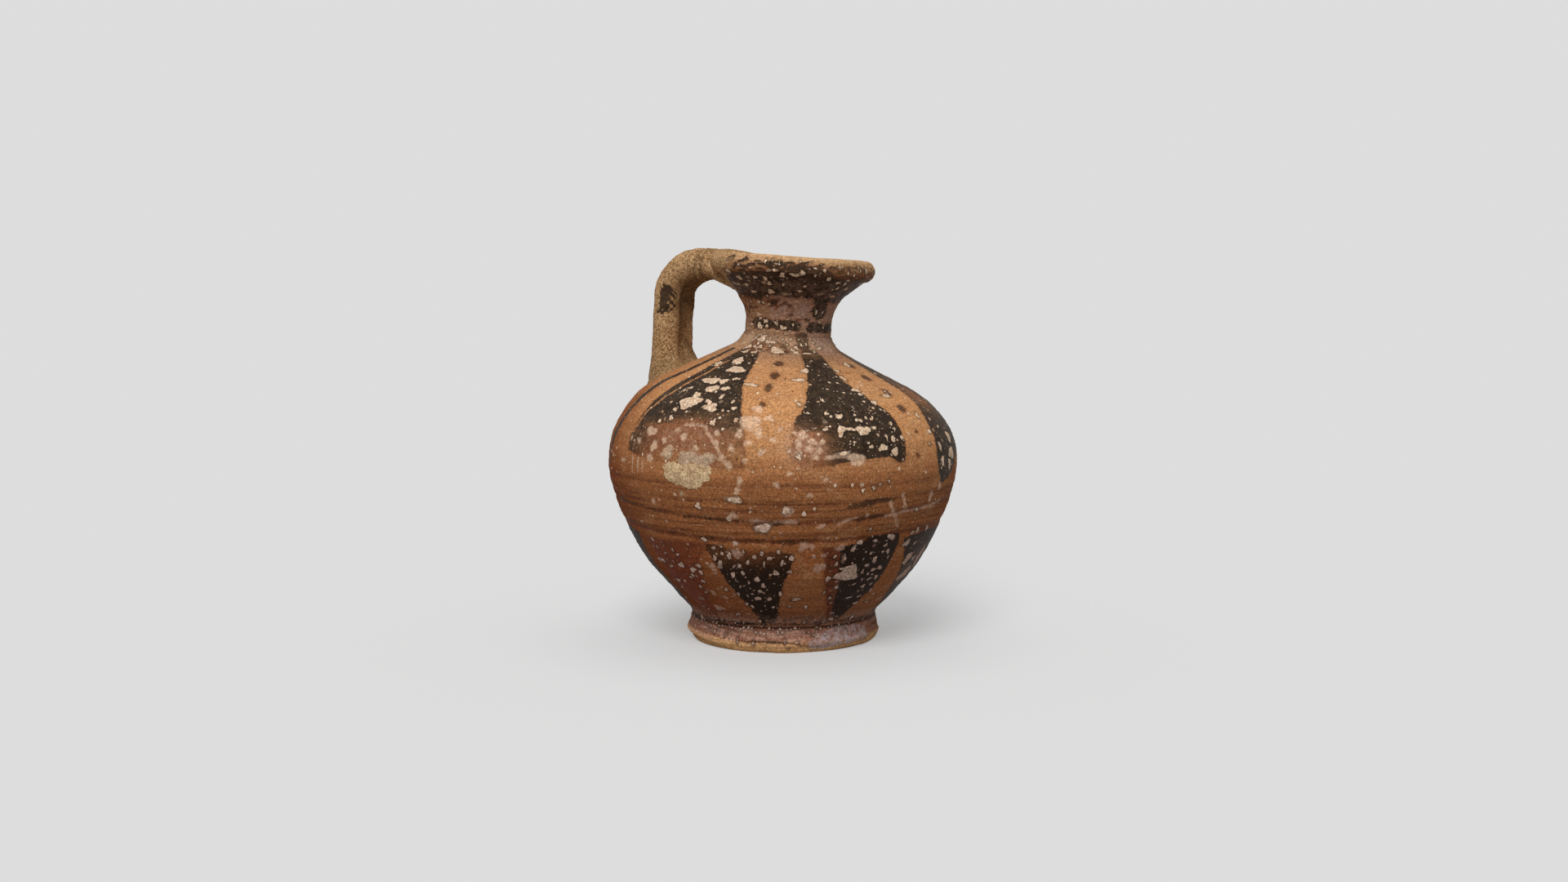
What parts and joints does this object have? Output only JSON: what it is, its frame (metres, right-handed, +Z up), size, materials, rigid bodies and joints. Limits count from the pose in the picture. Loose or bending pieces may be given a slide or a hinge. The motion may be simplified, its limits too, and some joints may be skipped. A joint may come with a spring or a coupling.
{
  "type": "jug",
  "caption": "Small wheel-thrown clay jug: round body on a ring foot, short leaning neck, flared round mouth and a strap handle, painted with worn dark tongues, dots and rays.",
  "frame": {"origin": "centre of the foot's resting face, on the axis of the body", "axes": "+Z up along the body's axis, the handle stands along -X, the neck leans towards +X, and the jug is symmetric about the XZ plane"},
  "size_m": [0.106, 0.106, 0.1193],
  "materials": {
    "slipped_clay": "matt orange-brown fired clay with worn black and red-brown slip",
    "plain_clay": "matt grainy tan clay without slip"
  },
  "bodies": {
    "root": {"foot_ring": "slipped_clay", "lower_body": "slipped_clay", "shoulder": "slipped_clay", "neck_coil": "slipped_clay", "neck": "slipped_clay", "mouth": "slipped_clay", "handle": "plain_clay", "handle_root_pad": "plain_clay", "handle_rim_pad": "plain_clay"}
  },
  "joints": []
}
